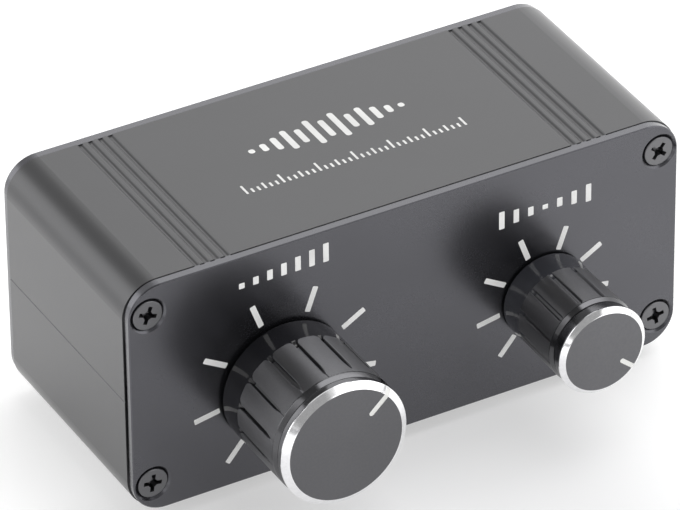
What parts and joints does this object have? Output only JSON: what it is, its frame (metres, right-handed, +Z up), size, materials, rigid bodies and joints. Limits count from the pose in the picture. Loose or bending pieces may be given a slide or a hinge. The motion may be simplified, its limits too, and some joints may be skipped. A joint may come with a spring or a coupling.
{
  "type": "studio monitor controller",
  "caption": "Small desktop monitor controller: a dark grey grooved aluminium box with a large fluted volume knob, a small balance knob and phono and jack sockets at the back.",
  "frame": {"origin": "middle of the footprint's box, on the surface that the feet stand on", "axes": "+X to the right seen from the knobs' side, +Y from the knobs to the sockets, +Z up"},
  "size_m": [0.088, 0.0638, 0.0397],
  "materials": {
    "case_anodised": "dark grey anodised, matt with a fine grain",
    "plate_anodised": "dark grey anodised, matt",
    "screw_black": "black zinc, satin",
    "foot_rubber": "matt",
    "board": "green solder mask",
    "resistor_lacquer": "light blue lacquer",
    "pot_casting": "zinc casting, satin",
    "pot_plastic": "dark moulded resin",
    "rotor_plastic": "natural acetal",
    "tinned_pins": "tinned",
    "nickel": "bright nickel plate",
    "shaft_aluminium": "turned",
    "knob_plastic": "black, satin gloss",
    "cap_aluminium": "dark anodised, spun face and bright cut bevel",
    "pointer_white": "white paint fill",
    "socket_plastic": "black moulded",
    "contact_brass": "plated",
    "insulator_red": "red",
    "insulator_white": "white"
  },
  "bodies": {
    "root": {"top_shell": "case_anodised", "bottom_shell": "case_anodised", "front_plate": "plate_anodised", "rear_plate": "plate_anodised", "front_plate_screws": "screw_black", "rear_plate_screws": "screw_black", "rubber_feet": "foot_rubber", "circuit_board": "board", "balance_resistors": "resistor_lacquer", "volume_pot_bushing": "pot_casting", "volume_pot_housing": "pot_plastic", "volume_pot_cover": "pot_plastic", "volume_pot_terminals": "tinned_pins", "volume_pot_washer": "nickel", "volume_pot_nut": "nickel", "balance_pot_bushing": "pot_casting", "balance_pot_housing": "pot_plastic", "balance_pot_cover": "pot_plastic", "balance_pot_terminals": "tinned_pins", "balance_pot_washer": "nickel", "balance_pot_nut": "nickel", "phono_input_block": "socket_plastic", "phono_input_sleeves": "nickel", "phono_input_contacts": "contact_brass", "phono_input_terminals": "tinned_pins", "phono_output_block": "socket_plastic", "phono_output_sleeves": "nickel", "phono_output_contacts": "contact_brass", "phono_output_terminals": "tinned_pins", "phono_insulators_right": "insulator_red", "phono_insulators_left": "insulator_white", "jack_bodies": "socket_plastic", "jack_barrels": "nickel", "jack_nuts": "nickel", "jack_terminals": "tinned_pins"},
    "volume": {"volume_pot_rotor": "rotor_plastic", "volume_shaft": "shaft_aluminium", "volume_knob_body": "knob_plastic", "volume_knob_cap": "cap_aluminium", "volume_knob_pointer": "pointer_white"},
    "balance": {"balance_pot_rotor": "rotor_plastic", "balance_shaft": "shaft_aluminium", "balance_knob_body": "knob_plastic", "balance_knob_cap": "cap_aluminium", "balance_knob_pointer": "pointer_white"}
  },
  "joints": [
    {"name": "volume_turn", "type": "hinge", "parent": "root", "child": "volume", "pos_m": [-0.02, -0.01406, 0.01705], "axis": [0, 1, 0], "range_deg": [-186.7, 93.3]},
    {"name": "balance_turn", "type": "hinge", "parent": "root", "child": "balance", "pos_m": [0.022, -0.01406, 0.01705], "axis": [0, 1, 0], "range_deg": [-270.3, 9.7]}
  ]
}
